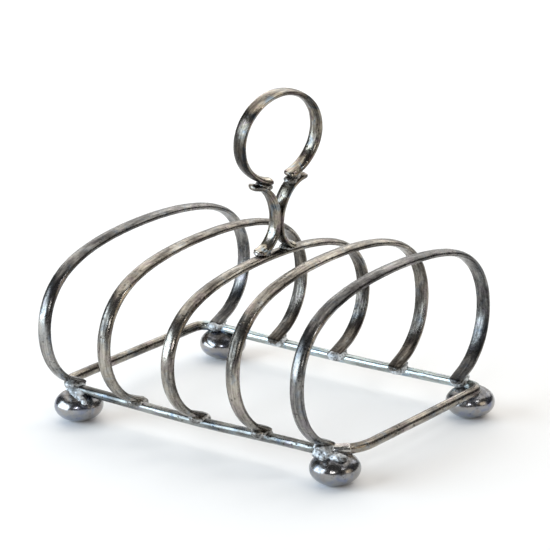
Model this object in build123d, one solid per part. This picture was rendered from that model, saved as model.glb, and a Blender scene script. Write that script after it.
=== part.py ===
from build123d import *
import math
import os

# Five-hoop toast rack, soldered up from silver wire.
# Millimetres. X runs along the rack (across the toast slots), Y along each
# hoop, Z up. The origin is on the table, under the middle of the rack.

# ---- half-round wires, as (width across the flat, flat to dome, upright edge) ----
HOOP_WIRE = (4.9, 2.0, 0.5)
HANDLE_WIRE = (5.2, 1.8, 0.45)

# ---- round wire of the base ----
RAIL_DIA = 3.3
RAIL_Z = 10.6             # height of the wire centre line at the corners
RAIL_SAG = 0.7            # dip at the middle of the long rails
RAIL_CENTRE_X = -1.0      # the wire sits a little left of the feet
RAIL_HALF_LENGTH = 57.5   # centre lines of the end rails, from its own middle
RAIL_HALF_WIDTH = 37.6    # centre lines of the long rails
CORNER_FRONT_RIGHT = 14.0
CORNER_BACK_RIGHT = 4.5
CORNER_BACK_LEFT = 4.5
CORNER_FRONT_LEFT = 8.0

# ---- hoops ----
# Half of the nominal hoop centre line, crown to foot, as (Y, Z).
HOOP_HALF = [
    (0.0, 59.5),
    (13.6, 59.0),
    (25.5, 57.5),
    (34.4, 55.3),
    (43.9, 50.5),
    (50.3, 42.8),
    (52.4, 33.6),
    (50.5, 24.4),
    (45.4, 17.4),
    (40.0, 14.0),
    (34.8, 12.9),
]
HOOP_BULGE = 52.4         # nominal half width at the widest point
HOOP_CROWN = 59.5         # nominal crown height
# Each hoop was bent by hand: place on X, shift on Y, half width, crown height.
HOOPS = {
    "hoop_1": (-51.5, 0.75, 52.4, 58.7),
    "hoop_2": (-25.5, -0.85, 52.3, 57.95),
    "hoop_3": (-0.5, 0.1, 52.5, 54.9),
    "hoop_4": (24.3, -0.1, 51.3, 59.4),
    "hoop_5": (48.6, -0.15, 51.15, 60.2),
}

# ---- bun feet ----
FOOT_DIA = 16.0
FOOT_HALF_HEIGHT = 5.27
FOOT_CENTRE_Z = 5.1       # a little less than the half height: worn flat below
FEET = {
    "foot_front_left": (-50.4, -37.2),
    "foot_front_right": (51.3, -35.5),
    "foot_back_right": (52.0, 37.9),
    "foot_back_left": (-50.1, 38.4),
}

# ---- handle: two scrolls back to back under an open oval ring ----
HANDLE_X = 0.0
HANDLE_Y = 3.2
HANDLE_Z = 56.3
HANDLE_TWIST = -9.8       # turned a little about the vertical
HANDLE_LEAN = 4.8         # and leaning a little towards hoop_4
# Scroll centre line in the handle plane, foot to tip, as (along, up).
SCROLL_LINE = [
    (8.0, 0.5),
    (5.6, 1.0),
    (3.3, 2.9),
    (1.5, 6.0),
    (0.93, 9.5),
    (1.3, 13.0),
    (2.75, 17.0),
    (5.3, 20.5),
    (8.4, 22.35),
    (11.5, 23.05),
]
RING_SHIFT = -0.9         # ring centre along the handle plane
RING_UP = 38.3
RING_HALF_WIDTH = 16.1
RING_HALF_HEIGHT = 14.25
RING_START = -73.0        # right-hand end of the open ring, degrees
RING_SWEEP = 334.0

# ---- solder: rounded lumps on the base, by half axes along X, Y and Z ----
HOOP_SOLDER = (3.8, 3.8, 2.0)
FOOT_SOLDER = (6.6, 4.8, 2.4)
SOLDER_RISE = 0.15        # hoop solder starts this far above the rail centre
# Pads in the handle: size across, along and up, then edge rounding.
RING_PAD = (6.2, 7.2, 3.2, 1.3)
WAIST_PAD = (4.6, 3.0, 9.4, 0.9)
SCROLL_FOOT_PAD = (6.2, 6.6, 2.6, 1.1)
RING_PAD_AT = (6.2, 22.7)         # along and up, in the handle plane
WAIST_PAD_UP = 9.4
SCROLL_FOOT_PAD_AT = (5.4, 0.1)
SEAM_RADIUS = 2.0
SEAM_ANGLES = (-78.0, -40.0)

FRONT, BACK = -1, 1


def half_round(wire, dome):
    """Half-round wire section; local X is the width, dome is +1 or -1 on Y."""
    width, thick, upright = wire
    edge = width / 2
    flat = -dome * thick / 2
    side = flat + dome * upright
    crown = flat + dome * thick
    outline = Polyline((-edge, side), (-edge, flat), (edge, flat), (edge, side))
    outline += ThreePointArc((edge, side), (0, crown), (-edge, side))
    return make_face(outline)


def sweep_half_round(path, wire, dome):
    """Half-round wire along a curve in the YZ plane, the width held along X."""
    start = Plane(origin=path @ 0, x_dir=(1, 0, 0), z_dir=path % 0)
    return sweep(start * half_round(wire, dome), path=path)


def ellipsoid(centre, half_axes):
    """Solid ellipsoid."""
    return Pos(*centre) * scale(Sphere(1.0), by=half_axes)


def pad(along, up, width, length, height, rounding):
    """Rounded pad of solder in the handle plane."""
    block = Box(width, length, height)
    return Pos(0, along, up) * fillet(block.edges(), rounding)


def largest(shape):
    """The biggest single solid of a cut shape."""
    return max(shape.solids(), key=lambda solid: solid.volume)


def level_band(low, high):
    """Wide flat block between two heights."""
    size = 4 * RAIL_HALF_LENGTH
    return Pos(0, 0, (low + high) / 2) * Box(size, size, high - low)


def dipped_rail(start, end):
    """Long rail, pressed down a little in the middle."""
    middle = (start + end) / 2 - Vector(0, 0, RAIL_SAG)
    along = (end - start).normalized()
    return Spline(start, middle, end, tangents=(along, along))


def base_path():
    """Rounded rectangle of the base wire, counter-clockwise from the front."""
    corners = [
        (1, -1, CORNER_FRONT_RIGHT),
        (1, 1, CORNER_BACK_RIGHT),
        (-1, 1, CORNER_BACK_LEFT),
        (-1, -1, CORNER_FRONT_LEFT),
    ]
    arcs = []
    for number, (side_x, side_y, radius) in enumerate(corners):
        centre = (
            RAIL_CENTRE_X + side_x * (RAIL_HALF_LENGTH - radius),
            side_y * (RAIL_HALF_WIDTH - radius),
            RAIL_Z,
        )
        arcs.append(CenterArc(centre, radius, -90 + 90 * number, 90))
    front_right, back_right, back_left, front_left = arcs
    edges = [
        front_right,
        Line(front_right @ 1, back_right @ 0),
        back_right,
        dipped_rail(back_right @ 1, back_left @ 0),
        back_left,
        Line(back_left @ 1, front_left @ 0),
        front_left,
        dipped_rail(front_left @ 1, front_right @ 0),
    ]
    return Wire(edges)


def base_wire():
    path = base_path()
    start = Plane(origin=path @ 0, z_dir=path % 0)
    return sweep(start * Circle(RAIL_DIA / 2), path=path)


def rail_height(x):
    """Height of the long rails' centre line at x."""
    reach = (x - RAIL_CENTRE_X) / RAIL_HALF_LENGTH
    return RAIL_Z - RAIL_SAG * (1 - reach**2) ** 2


def hoop_curve(x, shift, half_width, crown):
    """Full hoop centre line from the front end to the back end."""
    across = half_width / HOOP_BULGE
    base = rail_height(x)
    upward = (crown - base) / (HOOP_CROWN - RAIL_Z)
    half = [(y * across, base + (z - RAIL_Z) * upward) for y, z in HOOP_HALF]
    front = [(x, shift - y, z) for y, z in reversed(half)]
    back = [(x, shift + y, z) for y, z in half[1:]]
    return Spline(*front, *back)


def foot():
    """Flattened ball with a small worn flat underneath."""
    ball = ellipsoid(
        (0, 0, FOOT_CENTRE_Z),
        (FOOT_DIA / 2, FOOT_DIA / 2, FOOT_HALF_HEIGHT),
    )
    return ball & level_band(0, 2 * FOOT_HALF_HEIGHT)


def handle_place():
    """Handle plane: local Y runs along the handle and local Z up it."""
    return Pos(HANDLE_X, HANDLE_Y, HANDLE_Z) * Rot(0, 0, HANDLE_TWIST) * Rot(0, HANDLE_LEAN, 0)


def scroll(side):
    """One C-scroll; the flat faces its twin at the waist."""
    path = Spline(*[(0, side * along, up) for along, up in SCROLL_LINE])
    return sweep_half_round(path, HANDLE_WIRE, -side)


def ring():
    """Open oval ring with the flat of the wire inward."""
    turns = 24
    points = []
    for step in range(turns + 1):
        angle = math.radians(RING_START + RING_SWEEP * step / turns)
        along = RING_SHIFT + RING_HALF_WIDTH * math.cos(angle)
        points.append((0, along, RING_UP + RING_HALF_HEIGHT * math.sin(angle)))
    return sweep_half_round(Spline(*points), HANDLE_WIRE, -1)


def seam_collar(rail):
    """Thin sleeve of solder over the closing seam of the base wire."""
    centre = (
        RAIL_CENTRE_X + RAIL_HALF_LENGTH - CORNER_FRONT_RIGHT,
        CORNER_FRONT_RIGHT - RAIL_HALF_WIDTH,
        RAIL_Z,
    )
    begin, end = SEAM_ANGLES
    path = CenterArc(centre, CORNER_FRONT_RIGHT, begin, end - begin)
    start = Plane(origin=path @ 0, z_dir=path % 0)
    return sweep(start * Circle(SEAM_RADIUS), path=path) - rail


def build():
    nodes = {}
    rail = base_wire()
    nodes["base_frame"] = rail

    for name, (x, shift, half_width, crown) in HOOPS.items():
        curve = hoop_curve(x, shift, half_width, crown)
        hoop = sweep_half_round(curve, HOOP_WIRE, 1)
        nodes[name] = largest(hoop - rail)

    for name, (x, y) in FEET.items():
        nodes[name] = largest(Pos(x, y, 0) * foot() - rail)

    place = handle_place()
    front_scroll = largest(place * scroll(FRONT) - nodes["hoop_3"])
    back_scroll = largest(place * scroll(BACK) - nodes["hoop_3"])
    handle_ring = largest(place * ring() - front_scroll - back_scroll)
    nodes["scroll_front"] = front_scroll
    nodes["scroll_back"] = back_scroll
    nodes["handle_ring"] = handle_ring

    below = level_band(0, RAIL_Z)
    for name, (x, shift, _, _) in HOOPS.items():
        for side, end in ((FRONT, "front"), (BACK, "back")):
            above = level_band(rail_height(x) + SOLDER_RISE, HOOP_CROWN)
            blob = ellipsoid((x, side * (RAIL_HALF_WIDTH - 0.8), rail_height(x) + 1.3), HOOP_SOLDER)
            nodes[f"solder_{name}_{end}"] = largest((blob & above) - rail - nodes[name])

    for name, (x, y) in FEET.items():
        blob = ellipsoid((x, y, RAIL_Z - 0.9), FOOT_SOLDER)
        nodes[f"solder_{name}"] = largest((blob & below) - rail - nodes[name])

    waist = place * pad(0, WAIST_PAD_UP, *WAIST_PAD)
    nodes["solder_waist"] = largest(waist - front_scroll - back_scroll)
    for side, end, scroll_wire in ((FRONT, "front", front_scroll), (BACK, "back", back_scroll)):
        along, up = SCROLL_FOOT_PAD_AT
        low = place * pad(side * along, up, *SCROLL_FOOT_PAD)
        nodes[f"solder_scroll_{end}"] = largest(low - scroll_wire - nodes["hoop_3"])
        along, up = RING_PAD_AT
        high = place * pad(side * along, up, *RING_PAD)
        nodes[f"solder_ring_{end}"] = largest(high - scroll_wire - handle_ring)

    seam = seam_collar(rail)
    for name in ("foot_front_right", "solder_foot_front_right", "solder_hoop_5_front"):
        seam = seam - nodes[name]
    nodes["solder_seam"] = largest(seam)
    return nodes


os.makedirs("parts", exist_ok=True)
for node_name, node_shape in build().items():
    export_step(node_shape, f"parts/{node_name}.step")
    box = node_shape.bounding_box()
    print(node_name, round(node_shape.volume, 2), len(node_shape.solids()), box.min, box.max)
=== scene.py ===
import math
import random

import bmesh
import bpy
import numpy as np
from mathutils import Matrix, Vector, noise


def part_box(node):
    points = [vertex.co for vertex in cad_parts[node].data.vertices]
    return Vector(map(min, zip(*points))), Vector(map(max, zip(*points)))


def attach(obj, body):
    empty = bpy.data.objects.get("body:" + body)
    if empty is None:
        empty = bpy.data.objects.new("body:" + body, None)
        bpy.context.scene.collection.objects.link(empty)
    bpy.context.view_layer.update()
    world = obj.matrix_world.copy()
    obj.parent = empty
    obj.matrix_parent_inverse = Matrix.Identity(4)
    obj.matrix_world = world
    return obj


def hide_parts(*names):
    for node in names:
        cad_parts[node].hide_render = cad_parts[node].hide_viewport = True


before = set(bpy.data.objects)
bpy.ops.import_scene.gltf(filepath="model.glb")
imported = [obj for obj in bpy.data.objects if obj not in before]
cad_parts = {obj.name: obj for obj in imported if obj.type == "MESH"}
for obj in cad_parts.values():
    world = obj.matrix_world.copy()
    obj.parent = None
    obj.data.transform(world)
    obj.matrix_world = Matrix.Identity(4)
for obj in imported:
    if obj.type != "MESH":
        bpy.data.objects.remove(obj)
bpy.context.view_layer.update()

# Tarnished silver toast rack, in the frame's axes: X along the rack, Y along each hoop, Z up.
# The object's lengths are in millimetres, and its meshes are scaled to metres as they are made.
# Textures, floor, lights and camera are in metres.
MM = 0.001

FRONT, BACK = -1, 1
ENDS = ((FRONT, "front"), (BACK, "back"))
HOOPS = [f"hoop_{number}" for number in range(1, 6)]
END_HOOPS = ("hoop_1", "hoop_5")
FEET = ["foot_front_left", "foot_front_right", "foot_back_right", "foot_back_left"]


def node_box(node):
    """Lowest and highest corner of a CAD node, in millimetres."""
    low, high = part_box(node)
    return low / MM, high / MM


# ---------------------------------------------------------------- sizes
# Half-round wires, as (width across the flat, flat to dome, upright edge).
HOOP_WIRE = (4.9, 2.0, 0.5)
HANDLE_WIRE = (5.2, 1.8, 0.45)

BASE_LOW, BASE_HIGH = node_box("base_frame")
RAIL_RADIUS = 1.65
RAIL_Z = BASE_HIGH.z - RAIL_RADIUS
RAIL_SAG = BASE_HIGH.z - BASE_LOW.z - 2 * RAIL_RADIUS
RAIL_CENTRE_X = (BASE_LOW.x + BASE_HIGH.x) / 2
RAIL_HALF_LENGTH = (BASE_HIGH.x - BASE_LOW.x) / 2 - RAIL_RADIUS
RAIL_HALF_WIDTH = (BASE_HIGH.y - BASE_LOW.y) / 2 - RAIL_RADIUS
RAIL_STEPS = 40
BASE_POINTS = 520

# Radius of each corner of the base wire, by its side in X and Y, anticlockwise from above.
CORNER_RADII = {(1, FRONT): 14.0, (1, BACK): 4.5, (-1, BACK): 4.5, (-1, FRONT): 8.0}
CORNER_STEPS = 12

# The sleeve over the base wire's ends, on the front right corner: its start and its turn, in
# degrees about the corner's centre.
SLEEVE_START = -58
SLEEVE_TURN = 24
SLEEVE_RADIUS = RAIL_RADIUS + 0.3

# Half of the nominal hoop centre line, crown to foot, as (Y, Z).
HOOP_HALF = [
    (0.0, 59.5),
    (13.6, 59.0),
    (25.5, 57.5),
    (34.4, 55.3),
    (43.9, 50.5),
    (50.3, 42.8),
    (52.4, 33.6),
    (50.5, 24.4),
    (45.4, 17.4),
    (40.0, 14.0),
    (34.8, 12.9),
]
HOOP_BULGE = max(y for y, z in HOOP_HALF)
HOOP_CROWN = max(z for y, z in HOOP_HALF)
HOOP_POINTS = 260

# Each hoop's cut ends droop onto the rail over this last stretch.
TIP_DROOP = 1.4
TIP_DROOP_LENGTH = 6.5

# The handle plane, and the scroll centre line in it, foot to tip, as (along, up).
HANDLE = (
    Matrix.Translation((0.0, 3.2, 56.3))
    @ Matrix.Rotation(math.radians(-9.8), 4, "Z")
    @ Matrix.Rotation(math.radians(4.8), 4, "Y")
)
SCROLL_LINE = [
    (8.0, 0.5),
    (5.6, 1.0),
    (3.3, 2.9),
    (1.5, 6.0),
    (0.93, 9.5),
    (1.3, 13.0),
    (2.75, 17.0),
    (5.3, 20.5),
    (8.4, 22.35),
    (11.5, 23.05),
]
SCROLL_POINTS = 60
RING_SHIFT = -0.9
RING_UP = 38.3
RING_HALF_WIDTH = 16.1
RING_HALF_HEIGHT = 14.25
RING_START = -73.0
RING_SWEEP = 334.0
RING_STEPS = 120
RING_POINTS = 150

FOOT_RADIUS = 8.0
FOOT_HALF_HEIGHT = 5.27
FOOT_CENTRE_Z = 5.1
FOOT_FLAT_Z = 0.02


# ---------------------------------------------------------------- curves
def travel_along(line):
    """Distance of each point from the line's start."""
    steps = np.linalg.norm(np.diff(line, axis=0), axis=1)
    return np.concatenate([[0], np.cumsum(steps)])


def points_at(line, travel, wanted):
    """Points of the line at the wanted distances from its start."""
    return np.stack([np.interp(wanted, travel, line[:, axis]) for axis in range(3)], axis=1)


def even_steps(line, count):
    """The same line with count points at even distances."""
    line = np.array(line, float)
    travel = travel_along(line)
    return points_at(line, travel, np.linspace(0, travel[-1], count))


def smooth_curve(points, count):
    """Natural cubic spline through the points, resampled to count even steps."""
    points = np.array(points, float)
    knots = travel_along(points)
    gaps = np.diff(knots)
    size = len(points)
    system = np.eye(size)
    right = np.zeros_like(points)
    for row in range(1, size - 1):
        before, after = gaps[row - 1], gaps[row]
        system[row, row - 1 : row + 2] = (before, 2 * (before + after), after)
        rise = (points[row + 1] - points[row]) / after
        right[row] = 6 * (rise - (points[row] - points[row - 1]) / before)
    bend = np.linalg.solve(system, right)

    fine = np.linspace(0, knots[-1], 12 * count)
    part = np.clip(np.searchsorted(knots, fine, side="right") - 1, 0, size - 2)
    gap = gaps[part][:, None]
    head = (knots[part + 1] - fine)[:, None]
    tail = (fine - knots[part])[:, None]
    line = (bend[part] * head**3 + bend[part + 1] * tail**3) / (6 * gap)
    line += (points[part] / gap - bend[part] * gap / 6) * head
    line += (points[part + 1] / gap - bend[part + 1] * gap / 6) * tail
    return even_steps(line, count)


def rail_height(x):
    """Height of the long rails' centre line at x."""
    reach = (x - RAIL_CENTRE_X) / RAIL_HALF_LENGTH
    return RAIL_Z - RAIL_SAG * (1 - reach**2) ** 2


def hoop_line(node):
    """Centre line of one hoop, fitted to its CAD box, front end to back end."""
    low, high = node_box(node)
    x = (low.x + high.x) / 2
    shift = (low.y + high.y) / 2
    thick = HOOP_WIRE[1]
    half_width = (high.y - low.y - thick) / 2
    crown = high.z - thick / 2
    base = rail_height(x)
    across = half_width / HOOP_BULGE
    upward = (crown - base) / (HOOP_CROWN - RAIL_Z)
    half = [(y * across, base + (z - RAIL_Z) * upward) for y, z in HOOP_HALF]
    front = [(x, shift - y, z) for y, z in reversed(half)]
    back = [(x, shift + y, z) for y, z in half[1:]]
    line = smooth_curve(front + back, HOOP_POINTS)
    steps = np.arange(len(line))
    from_end = np.minimum(steps, steps[::-1]) * np.linalg.norm(line[1] - line[0])
    line[:, 2] -= TIP_DROOP * np.clip(1 - from_end / TIP_DROOP_LENGTH, 0, 1) ** 2
    return line


def corner_arc(corner, start, turn):
    """Points of the base wire's centre line round a corner, from start through turn degrees."""
    side_x, side_y = corner
    radius = CORNER_RADII[corner]
    centre_x = RAIL_CENTRE_X + side_x * (RAIL_HALF_LENGTH - radius)
    centre_y = side_y * (RAIL_HALF_WIDTH - radius)
    arc = []
    for step in range(CORNER_STEPS + 1):
        angle = math.radians(start + turn * step / CORNER_STEPS)
        arc.append((centre_x + radius * math.cos(angle), centre_y + radius * math.sin(angle), RAIL_Z))
    return arc


def long_rail(start, end):
    """Points between two corners of the base wire, dipping in the middle."""
    rail = []
    for step in range(1, RAIL_STEPS):
        t = step / RAIL_STEPS
        fold = 1 - abs(2 * t - 1)
        dip = RAIL_SAG * (3 * fold**2 - 2 * fold**3)
        rail.append((start[0] + (end[0] - start[0]) * t, start[1], RAIL_Z - dip))
    return rail


def base_line():
    """Closed centre line of the base wire, from under the sleeve on the front right corner."""
    corners = list(CORNER_RADII)
    arcs = [corner_arc(corner, -90 + 90 * number, 90) for number, corner in enumerate(corners)]
    line = []
    for number, (side_x, side_y) in enumerate(corners):
        line += arcs[number]
        following = (number + 1) % len(corners)
        if corners[following][1] == side_y:
            line += long_rail(line[-1], arcs[following][0])
    seam = CORNER_STEPS // 2
    return even_steps(line[seam:] + line[: seam + 1], BASE_POINTS)[:-1]


def handle_points(pairs):
    """Points of the handle plane, given as (along, up), in the frame."""
    return [HANDLE @ Vector((0, along, up)) for along, up in pairs]


def ring_line():
    """Centre line of the open oval ring."""
    pairs = []
    for step in range(RING_STEPS + 1):
        angle = math.radians(RING_START + RING_SWEEP * step / RING_STEPS)
        along = RING_SHIFT + RING_HALF_WIDTH * math.cos(angle)
        pairs.append((along, RING_UP + RING_HALF_HEIGHT * math.sin(angle)))
    return even_steps(handle_points(pairs), RING_POINTS)


# ---------------------------------------------------------------- wire meshes
# Unevenness from bending by hand. Scales are waves per millimetre, and shares are of the section.
BEND_SCALE = 0.035
DENT_SCALE = 0.45
SWELL_SCALE = 0.08
SWELL_SHARE = 0.025
TIP_TAPER = 0.7

# Each wire's marks start this much further along for each unit of its seed.
MARKS_APART = 500


def half_round_section(wire, soft=0.35, crowning=0.3, fullness=0.95):
    """Half-round outline as (width, height).

    soft is the radius of the edges, crowning is how far the flat face bulges, and a fullness
    under 1 makes the dome a little squarer than an ellipse."""
    width, thick, edge = wire
    half = width / 2
    bottom = -thick / 2
    flat_steps, edge_steps, dome_steps = 8, 3, 16
    outline = []
    for step in range(flat_steps + 1):
        share = 2 * step / flat_steps - 1
        outline.append(((half - soft) * share, bottom - crowning * (1 - share * share)))
    for step in range(1, edge_steps + 1):
        angle = math.radians(-90 + 90 * step / edge_steps)
        outline.append((half - soft + soft * math.cos(angle), bottom + soft + soft * math.sin(angle)))
    for step in range(1, dome_steps):
        angle = math.radians(180 * step / dome_steps)
        across = math.copysign(abs(math.cos(angle)) ** fullness, math.cos(angle))
        outline.append((half * across, bottom + edge + (thick - edge) * math.sin(angle)))
    for step in range(edge_steps):
        angle = math.radians(180 + 90 * step / edge_steps)
        outline.append((-half + soft + soft * math.cos(angle), bottom + soft + soft * math.sin(angle)))
    return outline


def round_section(radius, count=24):
    turns = [2 * math.pi * step / count for step in range(count)]
    return [(radius * math.cos(turn), radius * math.sin(turn)) for turn in turns]


def wobble(point, seed, scale, amount):
    """Small smooth offset, the same for the same place and seed."""
    return amount * noise.noise_vector(Vector(point) * scale + Vector((seed, 2.7 * seed, -seed)))


def with_round_ends(line, tip):
    """The line with more points in its first and last tip, where the wire is rounded off."""
    line = np.array(line, float)
    travel = travel_along(line)
    near = np.array([0.04, 0.14, 0.3, 0.55, 0.8, 1.0]) * tip
    inner = travel[(travel > 1.2 * tip) & (travel < travel[-1] - 1.2 * tip)]
    wanted = np.concatenate([[0], near, inner, travel[-1] - near[::-1], [travel[-1]]])
    return points_at(line, travel, wanted)


def sweep_wire(name, line, width_axis, section, closed=False, seed=1.0, bend=0.1, dent=0.04, tip=1.4):
    """Wire along a line: width_axis carries the section's first coordinate.

    bend moves the line and dent moves the surface, at most, and tip is the length of the rounded
    ends. The attribute "wire" holds each point's place on the straightened wire, for marks that
    run along it."""
    line = np.array(line, float) if closed else with_round_ends(line, tip)
    count = len(line)
    ahead = np.roll(line, -1, axis=0) - np.roll(line, 1, axis=0)
    if not closed:
        ahead[0] = line[1] - line[0]
        ahead[-1] = line[-1] - line[-2]
    travel = travel_along(line)
    work = bmesh.new()
    marks = []
    rings = []
    for index in range(count):
        along = Vector(ahead[index]).normalized()
        width = Vector(width_axis) - along * along.dot(Vector(width_axis))
        width.normalize()
        height = along.cross(width)
        centre = Vector(line[index]) + wobble(line[index], seed, BEND_SCALE, bend)
        swell = 1.0 + SWELL_SHARE * noise.noise(Vector((travel[index] * SWELL_SCALE, seed, 0)))
        if not closed:
            short = 1.0 - min(travel[index], travel[-1] - travel[index], tip) / tip
            swell *= math.sqrt(1.0 - TIP_TAPER * short * short)
        ring = []
        for across, up in section:
            place = centre + (width * across + height * up) * swell
            place += wobble(place, seed + 5, DENT_SCALE, dent)
            ring.append(work.verts.new(place * MM))
            marks.append(((travel[index] + MARKS_APART * seed) * MM, across * MM, up * MM))
        rings.append(ring)
    for index in range(count if closed else count - 1):
        skin_between(work, rings[index], rings[(index + 1) % count])
    if not closed:
        work.faces.new(list(reversed(rings[0])))
        work.faces.new(rings[-1])
    bmesh.ops.recalc_face_normals(work, faces=work.faces)
    return finish_piece(name, mesh_from(work, name), marks)


def skin_between(work, first, second):
    """Faces between two rings of points."""
    around = len(first)
    for number in range(around):
        after = (number + 1) % around
        work.faces.new((first[number], first[after], second[after], second[number]))


def mesh_from(work, name):
    """Mesh made from a bmesh, which is freed."""
    mesh = bpy.data.meshes.new(name)
    work.to_mesh(mesh)
    work.free()
    return mesh


def finish_piece(name, mesh, marks=None):
    """Smooth-shaded object of the root body, with its "wire" attribute if marks are given."""
    if marks:
        layer = mesh.attributes.new("wire", "FLOAT_VECTOR", "POINT")
        layer.data.foreach_set("vector", [part for mark in marks for part in mark])
    for face in mesh.polygons:
        face.use_smooth = True
    piece = bpy.data.objects.new(name, mesh)
    bpy.context.scene.collection.objects.link(piece)
    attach(piece, "root")
    return piece


# ---------------------------------------------------------------- feet
def foot_centre(node):
    """Middle of a ball foot, from its CAD box."""
    low, high = node_box(node)
    return Vector(((low.x + high.x) / 2, (low.y + high.y) / 2, FOOT_CENTRE_Z))


def ball_foot(name, centre, seed):
    """Flattened ball, worn flat below, with the slight facets of hand finishing."""
    work = bmesh.new()
    bmesh.ops.create_uvsphere(work, u_segments=64, v_segments=40, radius=1.0)
    for vert in work.verts:
        shape = Vector((vert.co.x * FOOT_RADIUS, vert.co.y * FOOT_RADIUS, vert.co.z * FOOT_HALF_HEIGHT))
        facets = noise.noise(shape * 0.22 + Vector((seed, 0, 0)))
        dents = noise.noise(shape * 0.9 + Vector((0, seed, 0)))
        place = centre + shape * (1.0 + 0.012 * facets + 0.004 * dents)
        place.z = max(place.z, FOOT_FLAT_Z)
        vert.co = place * MM
    mesh = mesh_from(work, name)
    return finish_piece(name, mesh, [tuple(vert.co) for vert in mesh.vertices])


# ---------------------------------------------------------------- solder
MELT_VOXEL = 0.2
LUMP_SCALE = 0.75
GRAIN_SCALE = 2.2
GRAIN_SHARE = 0.35
FLAT = Matrix.Identity(3)

# A hoop's joint this far from the middle of the rack is beside a corner of the base wire.
CORNER_ZONE = 40

# The run of solder down the front left foot's shoulder, as (east, north, half sizes).
FRONT_LEFT_RUN = [
    (1.0, -1.2, (2.4, 1.7, 0.9)),
    (2.2, -3.0, (1.9, 1.6, 0.9)),
    (3.9, -3.6, (1.7, 1.3, 0.9)),
    (5.3, -3.7, (1.2, 1.1, 0.9)),
]
FRONT_LEFT_SINK = 0.35

# The handle's solder in its plane, as (along, up, half sizes). The last two are used on each side.
WAIST_RUN = [
    (0.0, 13.6, (1.6, 0.9, 1.8)),
    (0.0, 9.6, (2.0, 0.5, 3.4)),
    (0.0, 5.0, (1.6, 1.1, 1.6)),
]
SCROLL_FOOT_RUN = [
    (5.2, -0.15, (2.6, 2.6, 0.8)),
    (7.4, 0.1, (2.2, 1.3, 0.8)),
]
RING_END_RUN = [
    (5.6, 22.4, (2.2, 2.6, 1.3)),
    (7.6, 23.4, (1.9, 1.7, 0.9)),
]


def solder_lump(name, blobs, seed, rough):
    """Uneven run of solder: blobs as (centre, half sizes, turn matrix), melted into one skin."""
    work = bmesh.new()
    for centre, half, turn in blobs:
        place = Matrix.Translation(Vector(centre)) @ turn.to_4x4() @ Matrix.Diagonal((*half, 1.0))
        bmesh.ops.create_icosphere(work, subdivisions=4, radius=1.0, matrix=place)
    mesh = mesh_from(work, name)
    rough_cast = bpy.data.objects.new(name + ".cast", mesh)
    bpy.context.scene.collection.objects.link(rough_cast)
    remesh = rough_cast.modifiers.new("melt", "REMESH")
    remesh.mode = "VOXEL"
    remesh.voxel_size = MELT_VOXEL
    soften = rough_cast.modifiers.new("soften", "SMOOTH")
    soften.factor = 0.6
    soften.iterations = 8
    bpy.context.view_layer.update()
    solid = rough_cast.evaluated_get(bpy.context.evaluated_depsgraph_get())
    skin = bpy.data.meshes.new_from_object(solid)
    bpy.data.objects.remove(rough_cast)
    bpy.data.meshes.remove(mesh)
    normals = [Vector(vert.normal) for vert in skin.vertices]
    for vert, normal in zip(skin.vertices, normals):
        here = Vector(vert.co)
        lumps = noise.noise(here * LUMP_SCALE + Vector((seed, 0, 0)))
        grain = noise.noise(here * GRAIN_SCALE + Vector((0, seed, 0)))
        vert.co = (here + normal * rough * (lumps + GRAIN_SHARE * grain)) * MM
    skin.update()
    skin.name = name
    return finish_piece(name, skin)


def jitter(dice, values, amount):
    """The values, each changed at random by at most this share of it."""
    return tuple(value * (1 + dice.uniform(-amount, amount)) for value in values)


def hoop_joint(x, side, dice):
    """Solder that beds a hoop's end on the rail, fills under its edges and runs out along the rail.

    Beside a corner the run is shorter and lies further from the corner."""
    slide = dice.uniform(-0.4, 0.4)
    run, wide = 6.0, 3.2
    if abs(x) > CORNER_ZONE:
        slide = math.copysign(1.2, x)
        run, wide = 4.0, 2.7
    edge = wide - 1.1
    # East, outward and up from the rail's centre, half sizes, and the share these vary by.
    blobs = [
        (0.0, -1.2, 0.6, (wide, 2.4, 1.6), 0.06),
        (0.0, 0.7, 0.9, (wide, 1.6, 1.4), 0.08),
        (-slide, -0.1, 0.5, (run, 1.55, 1.4), 0.08),
        (0.0, -2.1, 0.9, (wide, 1.7, 1.5), 0.1),
        (edge, -0.6, 1.0, (1.5, 2.2, 1.2), 0.1),
        (-edge, -0.6, 1.0, (1.5, 2.2, 1.2), 0.1),
        (0.0, 1.7, 1.8, (1.9, 2.1, 1.0), 0.05),
    ]
    rail_y = side * RAIL_HALF_WIDTH
    rail_z = rail_height(x)
    return [
        ((x + east, rail_y + side * outward, rail_z + up), jitter(dice, half, amount), FLAT)
        for east, outward, up, half, amount in blobs
    ]


def on_foot(centre, east, north, sink):
    """Point on a foot's upper skin, away from its middle by (east, north)."""
    share = min((east**2 + north**2) / FOOT_RADIUS**2, 0.98)
    height = FOOT_CENTRE_Z + FOOT_HALF_HEIGHT * math.sqrt(1 - share)
    return Vector((centre.x + east, centre.y + north, height - sink))


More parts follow.
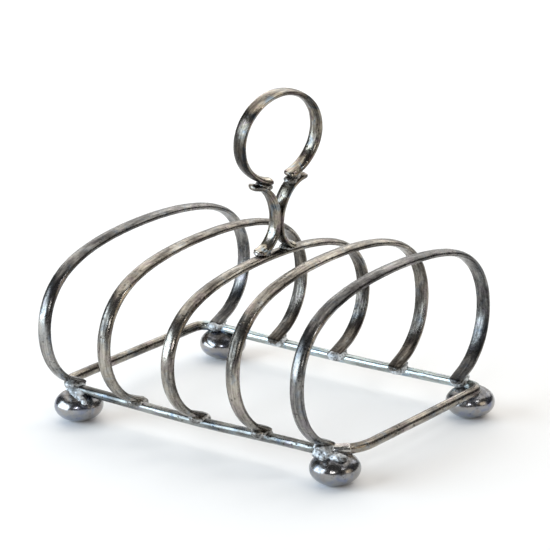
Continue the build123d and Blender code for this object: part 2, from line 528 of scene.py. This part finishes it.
def foot_joint(centre, side, dice):
    """Pool of solder between rail and foot, spilling over the foot's outer shoulder.

    inward is the X direction to the rack's middle, cut short on the left-hand feet, where the
    pool is narrower."""
    rail_y = side * RAIL_HALF_WIDTH - centre.y
    below_rail = RAIL_Z - 0.7
    inward = -1 if centre.x > 0 else 0.4
    outward, half_run = (2.8, 3.6) if side == FRONT else (1.0, 2.3)
    under_rail = [
        (2.6 * inward, 0.4, 0.0, (3.7, 2.1, 1.8)),
        (-outward * inward, 0.1, 0.2, (half_run, 1.9, 1.4)),
    ]
    over_foot = [
        (2.3 * inward, 1.4, 0.1, (3.2, 1.8, 1.0)),
        (4.2 * inward, 0.9, 0.0, (1.9, 1.5, 0.8)),
        (1.4 * inward, 2.3, 0.35, (1.7, 1.2, 0.75)),
        (-1.7 * inward, 1.1, 0.5, (half_run - 0.6, 1.3, 0.7)),
    ]
    blobs = []
    for east, north, sink, half in under_rail:
        place = (centre.x + east, centre.y + rail_y + side * north, below_rail - sink)
        blobs.append((place, jitter(dice, half, 0.1), FLAT))
    for east, north, sink, half in over_foot:
        place = on_foot(centre, east, rail_y + side * north, sink)
        blobs.append((place, jitter(dice, half, 0.1), FLAT))
    if centre.x < 0 and side == FRONT:
        for east, north, half in FRONT_LEFT_RUN:
            blobs.append((on_foot(centre, east, north, FRONT_LEFT_SINK), half, FLAT))
    return blobs


def handle_joint(run, side=1):
    """Blobs of a run of solder on the handle, on the side given."""
    turn = HANDLE.to_3x3()
    return [(HANDLE @ Vector((0, side * along, up)), half, turn) for along, up, half in run]


# ---------------------------------------------------------------- materials
class Graph:
    """Short way to write a node tree."""

    def __init__(self, name):
        self.material = bpy.data.materials.new(name)
        self.material.use_nodes = True
        self.tree = self.material.node_tree
        self.shader = self.tree.nodes["Principled BSDF"]

    def node(self, kind, inputs=None, **settings):
        made = self.tree.nodes.new(kind)
        for key, value in settings.items():
            setattr(made, key, value)
        for key, value in (inputs or {}).items():
            if isinstance(value, bpy.types.NodeSocket):
                self.tree.links.new(value, made.inputs[key])
            else:
                made.inputs[key].default_value = value
        return made

    def noise(self, place, scale, detail=4.0, rough=0.55, distort=0.0):
        inputs = {
            "Vector": place,
            "Scale": scale,
            "Detail": detail,
            "Roughness": rough,
            "Distortion": distort,
        }
        return self.node("ShaderNodeTexNoise", inputs).outputs["Fac"]

    def cells(self, place, scale):
        """Distance from the middle of the nearest of many cells."""
        return self.node("ShaderNodeTexVoronoi", {"Vector": place, "Scale": scale}).outputs["Distance"]

    def stretched(self, wire, along, across):
        """Wire coordinates scaled differently along and across the wire."""
        inputs = {"Vector": wire, "Scale": (along, across, across)}
        return self.node("ShaderNodeMapping", inputs).outputs["Vector"]

    def part(self, vector, axis):
        return self.node("ShaderNodeSeparateXYZ", {"Vector": vector}).outputs[axis]

    def ramp(self, factor, places, colours):
        made = self.node("ShaderNodeValToRGB", {"Fac": factor})
        ramp = made.color_ramp
        while len(ramp.elements) < len(places):
            ramp.elements.new(0.5)
        for element, place, colour in zip(ramp.elements, places, colours):
            element.position = place
            element.color = (*colour, 1.0)
        return made.outputs["Color"]

    def span(self, value, low, high, to_low=0.0, to_high=1.0):
        inputs = {"Value": value, "From Min": low, "From Max": high, "To Min": to_low, "To Max": to_high}
        return self.node("ShaderNodeMapRange", inputs).outputs["Result"]

    def maths(self, operation, *values):
        return self.node("ShaderNodeMath", dict(enumerate(values)), operation=operation).outputs[0]

    def mix(self, factor, first, second, blend="MIX"):
        """Mix of two colours; the second may be a plain (red, green, blue)."""
        if not isinstance(second, bpy.types.NodeSocket):
            second = (*second, 1.0)
        inputs = {0: factor, 6: first, 7: second}
        made = self.node("ShaderNodeMix", inputs, data_type="RGBA", blend_type=blend)
        return made.outputs[2]

    def metal(self, colour, roughness, height, strength, distance, metallic=1.0):
        """The finished material: colour, roughness and a bump, which distance and strength scale."""
        bump = self.node("ShaderNodeBump", {"Height": height, "Strength": strength, "Distance": distance})
        self.tree.links.new(colour, self.shader.inputs["Base Color"])
        self.tree.links.new(roughness, self.shader.inputs["Roughness"])
        self.tree.links.new(bump.outputs["Normal"], self.shader.inputs["Normal"])
        self.shader.inputs["Metallic"].default_value = metallic
        return self.material


SILVER_STAINS = [(0.70, 0.82, 1.0), (1.0, 1.0, 1.0), (1.0, 0.94, 0.84), (0.96, 0.84, 0.90)]
HANDLE_STAINS = [(0.55, 0.75, 1.0), (1.0, 1.0, 1.0), (1.0, 0.93, 0.78), (0.90, 0.74, 0.82)]
FOOT_STAINS = [(0.60, 0.66, 1.0), (0.82, 0.87, 1.0), (1.0, 0.98, 0.95), (0.95, 0.88, 0.84)]
PIT_COLOUR = (0.025, 0.021, 0.018)
PORE_COLOUR = (0.05, 0.046, 0.042)
# Painted bluish reflection, multiplied into the rear and front rails of the base wire.
REAR_RAIL_SHEEN_TINT = (0.70, 0.87, 1.0)
FRONT_RAIL_SHEEN_TINT = (0.76, 0.86, 0.97)

# Weights of the fine noises in the film, beside the clouds' weight of 1.
FILM_GRAIN = 0.22
FILM_LINES = 0.6

# Steps of the colour ramps for film, stains and solder.
FILM_STEPS = (0.0, 0.35, 0.68, 1.0)
STAIN_STEPS = (0.30, 0.41, 0.54, 0.66)
SOLDER_STEPS = (0.34, 0.45, 0.54, 0.66)


def tarnished_silver(
    name,
    shades,
    facing_wear_and_shade=0.3,
    rough=0.2,
    streaks=1.0,
    pits=1.0,
    stain=0.6,
    stains=SILVER_STAINS,
    inside=0.0,
    rear_clean_and_sheen=0.0,
):
    """Old silver: metal under a dark film, with drawn scratches, pits and stains.

    shades are the metal's colours from clean to darkest film. facing_wear_and_shade thins the film
    on upward faces and thickens it on downward ones, or the reverse if it is negative; this is
    partly wear on the tops and partly painted light and shade by facing. rough is the clean
    metal's roughness. streaks is the strength of the marks along the wire, and at 0.5 or less the
    film lies in round clouds. pits and stain are strengths, and stains are the tints. inside
    thickens the film on a half-round wire's flat face. rear_clean_and_sheen is for the base wire:
    it thins the film on the rear rail, which then has fewer pits; this is partly cleaner metal and
    partly a painted sheen. Both long rails are tinted with a painted bluish reflection."""
    graph = Graph(name)
    coords = graph.node("ShaderNodeTexCoord").outputs
    place = coords["Object"]
    wire = graph.node("ShaderNodeAttribute", attribute_name="wire").outputs["Vector"]
    grain = graph.noise(place, 1100.0, detail=3.0, rough=0.7)
    lines = graph.noise(graph.stretched(wire, 150.0, 1500.0), 1.0, detail=2.0, rough=0.6)

    if streaks > 0.5:
        clouds = graph.noise(graph.stretched(wire, 65.0, 230.0), 1.0, detail=3.0, rough=0.6, distort=0.4)
    else:
        clouds = graph.noise(place, 130.0, detail=3.0, rough=0.6, distort=0.4)
    film = graph.maths("MULTIPLY_ADD", grain, FILM_GRAIN, clouds)
    film = graph.maths("MULTIPLY_ADD", lines, FILM_LINES * streaks, film)
    middle = 0.5 * (1.0 + FILM_GRAIN + FILM_LINES * streaks)
    film = graph.span(film, middle - 0.34, middle + 0.31)
    upward = graph.part(coords["Normal"], "Z")
    # Partly wear on the tops and partly painted light and shade: the film is thinner or thicker by how
    # far the face points up.
    film = graph.maths("SUBTRACT", film, graph.span(upward, -0.7, 1.0, -facing_wear_and_shade, facing_wear_and_shade))
    if inside:
        section_height = graph.part(wire, "Z")
        film = graph.maths("ADD", film, graph.span(section_height, -0.0004, -0.0009, 0.0, inside))
    # Partly cleaner metal and partly a painted sheen: the rear rail's film is thinner and it has fewer
    # pits.
    if rear_clean_and_sheen:
        north = graph.part(place, "Y")
        back = graph.span(north, 0.034, 0.0365)
        front = graph.span(north, -0.0325, -0.0355)
        film = graph.maths("SUBTRACT", film, graph.maths("MULTIPLY", back, rear_clean_and_sheen))

    holes = graph.span(graph.cells(place, 700.0), 0.36, 0.14)
    pitted_patches = graph.span(graph.noise(place, 210.0, detail=3.0), 0.45, 0.6)
    holes = graph.maths("MULTIPLY", holes, pitted_patches)
    if rear_clean_and_sheen:
        holes = graph.maths("MULTIPLY", holes, graph.span(back, 0.0, 1.0, 1.0, 0.2))

    hue = graph.noise(place, 230.0, detail=2.0, rough=0.5, distort=0.8)
    hue = graph.ramp(hue, STAIN_STEPS, stains)
    colour = graph.mix(stain, graph.ramp(film, FILM_STEPS, shades), hue, "MULTIPLY")
    # Painted bluish reflection: the long rails are tinted by their place.
    if rear_clean_and_sheen:
        colour = graph.mix(back, colour, REAR_RAIL_SHEEN_TINT, "MULTIPLY")
        colour = graph.mix(front, colour, FRONT_RAIL_SHEEN_TINT, "MULTIPLY")
    colour = graph.mix(graph.maths("MULTIPLY", holes, 0.75 * pits), colour, PIT_COLOUR)

    shine = graph.span(film, 0.0, 1.0, rough, rough + 0.1)
    shine = graph.maths("ADD", shine, graph.span(grain, 0.35, 0.7, -0.05, 0.08))
    height = graph.maths("MULTIPLY_ADD", grain, 0.3, graph.maths("MULTIPLY", lines, 0.6 * streaks))
    height = graph.maths("SUBTRACT", height, graph.maths("MULTIPLY", holes, 0.7 * pits))
    return graph.metal(colour, shine, height, strength=0.35, distance=0.0002)


def solder_metal(name, shades, rough, metallic=1.0):
    """Grainy solder with dark pores; shades run from the dirtiest to the cleanest."""
    graph = Graph(name)
    place = graph.node("ShaderNodeTexCoord").outputs["Object"]
    grain = graph.noise(place, 1000.0, detail=4.0, rough=0.7)
    patches = graph.noise(place, 380.0, detail=4.0, rough=0.65, distort=0.6)
    pores = graph.span(graph.cells(place, 900.0), 0.42, 0.2)
    colour = graph.ramp(patches, SOLDER_STEPS, shades)
    colour = graph.mix(graph.maths("MULTIPLY", pores, 0.7), colour, PORE_COLOUR)
    shine = graph.span(grain, 0.3, 0.7, rough, rough + 0.25)
    height = graph.maths("ADD", graph.maths("MULTIPLY_ADD", pores, -0.6, grain), patches)
    return graph.metal(colour, shine, height, strength=0.8, distance=0.0003, metallic=metallic)


GREY_SHADES = [(0.50, 0.50, 0.49), (0.27, 0.27, 0.265), (0.105, 0.105, 0.105), (0.026, 0.026, 0.028)]
WARM_SHADES = [(0.60, 0.575, 0.525), (0.34, 0.322, 0.288), (0.12, 0.111, 0.10), (0.028, 0.025, 0.022)]
BRIGHT_SHADES = [(0.80, 0.80, 0.79), (0.58, 0.58, 0.57), (0.26, 0.25, 0.245), (0.05, 0.046, 0.042)]
FOOT_SHADES = [(0.41, 0.41, 0.415), (0.35, 0.35, 0.355), (0.285, 0.283, 0.287), (0.06, 0.058, 0.057)]
FROST_SHADES = [(0.09, 0.087, 0.085), (0.385, 0.40, 0.41), (0.63, 0.66, 0.685), (0.81, 0.85, 0.88)]
AGED_SHADES = [(0.09, 0.086, 0.08), (0.20, 0.195, 0.185), (0.32, 0.315, 0.305), (0.60, 0.60, 0.58)]

# The facing values below paint light and shade by facing, partly standing for wear on the tops.
COOL_HOOP = tarnished_silver("grey_silver", GREY_SHADES, facing_wear_and_shade=-0.17, inside=0.15)
WARM_HOOP = tarnished_silver("warm_silver", WARM_SHADES, facing_wear_and_shade=-0.06, inside=0.24)
BASE_METAL = tarnished_silver(
    "base_silver", WARM_SHADES, facing_wear_and_shade=-0.08, streaks=0.6, pits=1.4, stain=0.75, rear_clean_and_sheen=0.48
)
HANDLE_METAL = tarnished_silver(
    "handle_silver", WARM_SHADES, facing_wear_and_shade=0.2, rough=0.17, stain=0.85, stains=HANDLE_STAINS, inside=0.25
)
FOOT_METAL = tarnished_silver(
    "foot_silver",
    FOOT_SHADES,
    facing_wear_and_shade=-0.35,
    rough=0.15,
    streaks=0.3,
    pits=0.45,
    stain=0.8,
    stains=FOOT_STAINS,
)
BRIGHT_METAL = tarnished_silver("bright_silver", BRIGHT_SHADES, facing_wear_and_shade=0.25, pits=1.3)
FROSTED_SOLDER = solder_metal("frosted_solder", FROST_SHADES, rough=0.36, metallic=0.6)
AGED_SOLDER = solder_metal("aged_solder", AGED_SHADES, rough=0.2)


# ---------------------------------------------------------------- the object
def dress(piece, node, material):
    """Puts a piece in place of its CAD node."""
    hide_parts(node)
    piece.data.materials.clear()
    piece.data.materials.append(material)


def build_hoops():
    section = half_round_section(HOOP_WIRE)
    for number, node in enumerate(HOOPS):
        line = hoop_line(node)
        piece = sweep_wire("wire_" + node, line, (-1, 0, 0), section, seed=3.0 + number, tip=1.5)
        dress(piece, node, COOL_HOOP if node in END_HOOPS else WARM_HOOP)


def build_base():
    section = round_section(RAIL_RADIUS)
    base = sweep_wire("wire_base", base_line(), (0, 0, 1), section, closed=True, seed=11.0)
    dress(base, "base_frame", BASE_METAL)


def build_handle():
    section = half_round_section(HANDLE_WIRE)
    width_axis = HANDLE.to_3x3() @ Vector((1, 0, 0))
    for side, end in ENDS:
        pairs = [(side * along, up) for along, up in SCROLL_LINE]
        line = smooth_curve(handle_points(pairs), SCROLL_POINTS)
        piece = sweep_wire(f"scroll_wire_{end}", line, width_axis * side, section, seed=20.0 + side)
        dress(piece, f"scroll_{end}", HANDLE_METAL)
    ring = sweep_wire("ring_wire", ring_line(), -width_axis, section, seed=33.0)
    dress(ring, "handle_ring", HANDLE_METAL)


def build_feet(dice):
    for number, node in enumerate(FEET):
        centre = foot_centre(node)
        foot = ball_foot("ball_" + node, centre, 40.0 + number)
        dress(foot, node, FOOT_METAL)
        side = FRONT if centre.y < 0 else BACK
        lump = solder_lump("run_" + node, foot_joint(centre, side, dice), 50.0 + number, rough=0.34)
        dress(lump, "solder_" + node, FROSTED_SOLDER)


def build_hoop_joints(dice):
    for number, node in enumerate(HOOPS):
        low, high = node_box(node)
        x = (low.x + high.x) / 2
        for side, end in ENDS:
            blobs = hoop_joint(x, side, dice)
            lump = solder_lump(f"run_{node}_{end}", blobs, 60.0 + number + 0.5 * side, rough=0.15)
            metal = FROSTED_SOLDER if node in END_HOOPS or side == BACK else AGED_SOLDER
            dress(lump, f"solder_{node}_{end}", metal)


def build_handle_joints():
    waist = solder_lump("run_waist", handle_joint(WAIST_RUN), 71.0, rough=0.15)
    dress(waist, "solder_waist", AGED_SOLDER)
    for side, end in ENDS:
        blobs = handle_joint(SCROLL_FOOT_RUN, side)
        lump = solder_lump(f"run_scroll_{end}", blobs, 73.0 + side, rough=0.25)
        dress(lump, f"solder_scroll_{end}", AGED_SOLDER)
        blobs = handle_joint(RING_END_RUN, side)
        lump = solder_lump(f"run_ring_{end}", blobs, 76.0 + side, rough=0.25)
        dress(lump, f"solder_ring_{end}", AGED_SOLDER)


def build_sleeve():
    """Sleeve over the base wire's seam; its seed is the base wire's, so both bend alike."""
    line = corner_arc((1, FRONT), SLEEVE_START, SLEEVE_TURN)
    section = round_section(SLEEVE_RADIUS)
    sleeve = sweep_wire("seam_sleeve", line, (0, 0, 1), section, seed=11.0, dent=0.12, tip=0.5)
    dress(sleeve, "solder_seam", BRIGHT_METAL)


# ---------------------------------------------------------------- stage, lights and camera
FLOOR_RADIUS = 4.0
FLOOR_COLOUR = (0.94, 0.94, 0.94, 1.0)
ROOM_COLOUR = (0.96, 0.97, 1.0, 1.0)
ROOM_STRENGTH = 0.08

# Area lights as (name, place, (width, height), watts, colour).
LIGHTS = [
    ("top_box", (-0.45, 0.95, 1.7), (3.8, 3.3), 61.0, (1.0, 0.975, 0.935)),
    ("back_box", (-1.1, 1.7, 0.75), (3.0, 1.3), 10.0, (1.0, 0.975, 0.935)),
    ("left_window", (-1.12, -1.24, 0.55), (1.7, 1.2), 39.0, (0.75, 0.88, 1.0)),
    ("right_box", (1.9, 0.3, 0.6), (1.0, 0.8), 4.6, (1.0, 0.84, 0.62)),
    ("right_lamp", (1.1, -0.15, 1.15), (0.25, 0.14), 1.6, (1.0, 1.0, 1.0)),
    ("front_spot", (0.70, -1.37, 0.73), (0.3, 0.14), 3.4, (1.0, 1.0, 1.0)),
]
LIGHT_TARGET = Vector((0.0, 0.0, 0.04))

CAMERA_AZIMUTH = 37.41
CAMERA_ELEVATION = 17.5
CAMERA_ROLL = -0.88
CAMERA_TARGET = (0.00116, 0.00132, 0.04829)
CAMERA_DISTANCE = 0.9546
CAMERA_LENS = 195.05


def make_floor():
    work = bmesh.new()
    bmesh.ops.create_circle(work, cap_ends=True, segments=96, radius=FLOOR_RADIUS)
    mesh = mesh_from(work, "floor")
    floor = bpy.data.objects.new("floor", mesh)
    bpy.context.scene.collection.objects.link(floor)
    paper = bpy.data.materials.new("white_paper")
    paper.use_nodes = True
    shader = paper.node_tree.nodes["Principled BSDF"]
    shader.inputs["Base Color"].default_value = FLOOR_COLOUR
    shader.inputs["Roughness"].default_value = 0.8
    mesh.materials.append(paper)


def make_lights():
    for name, place, size, power, colour in LIGHTS:
        lamp = bpy.data.lights.new(name, "AREA")
        lamp.shape = "RECTANGLE"
        lamp.size, lamp.size_y = size
        lamp.energy = power
        lamp.color = colour
        holder = bpy.data.objects.new(name, lamp)
        holder.location = place
        holder.rotation_euler = (LIGHT_TARGET - Vector(place)).to_track_quat("-Z", "Y").to_euler()
        bpy.context.scene.collection.objects.link(holder)
    world = bpy.data.worlds.new("room")
    world.use_nodes = True
    background = world.node_tree.nodes["Background"]
    background.inputs["Color"].default_value = ROOM_COLOUR
    background.inputs["Strength"].default_value = ROOM_STRENGTH
    bpy.context.scene.world = world


def make_camera():
    azimuth = math.radians(CAMERA_AZIMUTH)
    elevation = math.radians(CAMERA_ELEVATION)
    roll = math.radians(CAMERA_ROLL)
    level = Vector((math.cos(azimuth), math.sin(azimuth), 0.0))
    outward = Vector((math.sin(azimuth), -math.cos(azimuth), 0.0))
    back = outward * math.cos(elevation) + Vector((0.0, 0.0, math.sin(elevation)))
    upright = back.cross(level)
    right = level * math.cos(roll) + upright * math.sin(roll)
    up = upright * math.cos(roll) - level * math.sin(roll)
    lens = bpy.data.cameras.new("photo_view")
    lens.sensor_width = 36.0
    lens.lens = CAMERA_LENS
    lens.clip_start = 0.01
    camera = bpy.data.objects.new("photo_view", lens)
    turn = Matrix((right, up, back)).transposed().to_4x4()
    camera.matrix_world = Matrix.Translation(Vector(CAMERA_TARGET) + back * CAMERA_DISTANCE) @ turn
    bpy.context.scene.collection.objects.link(camera)
    bpy.context.scene.camera = camera


# One seed for the dice and for noise_vector, which otherwise starts from the clock.
SEED = 7
noise.seed_set(SEED)
dice = random.Random(SEED)
build_hoops()
build_base()
build_handle()
build_feet(dice)
build_hoop_joints(dice)
build_handle_joints()
build_sleeve()
make_floor()
make_lights()
make_camera()
bpy.context.scene.view_settings.view_transform = "Standard"
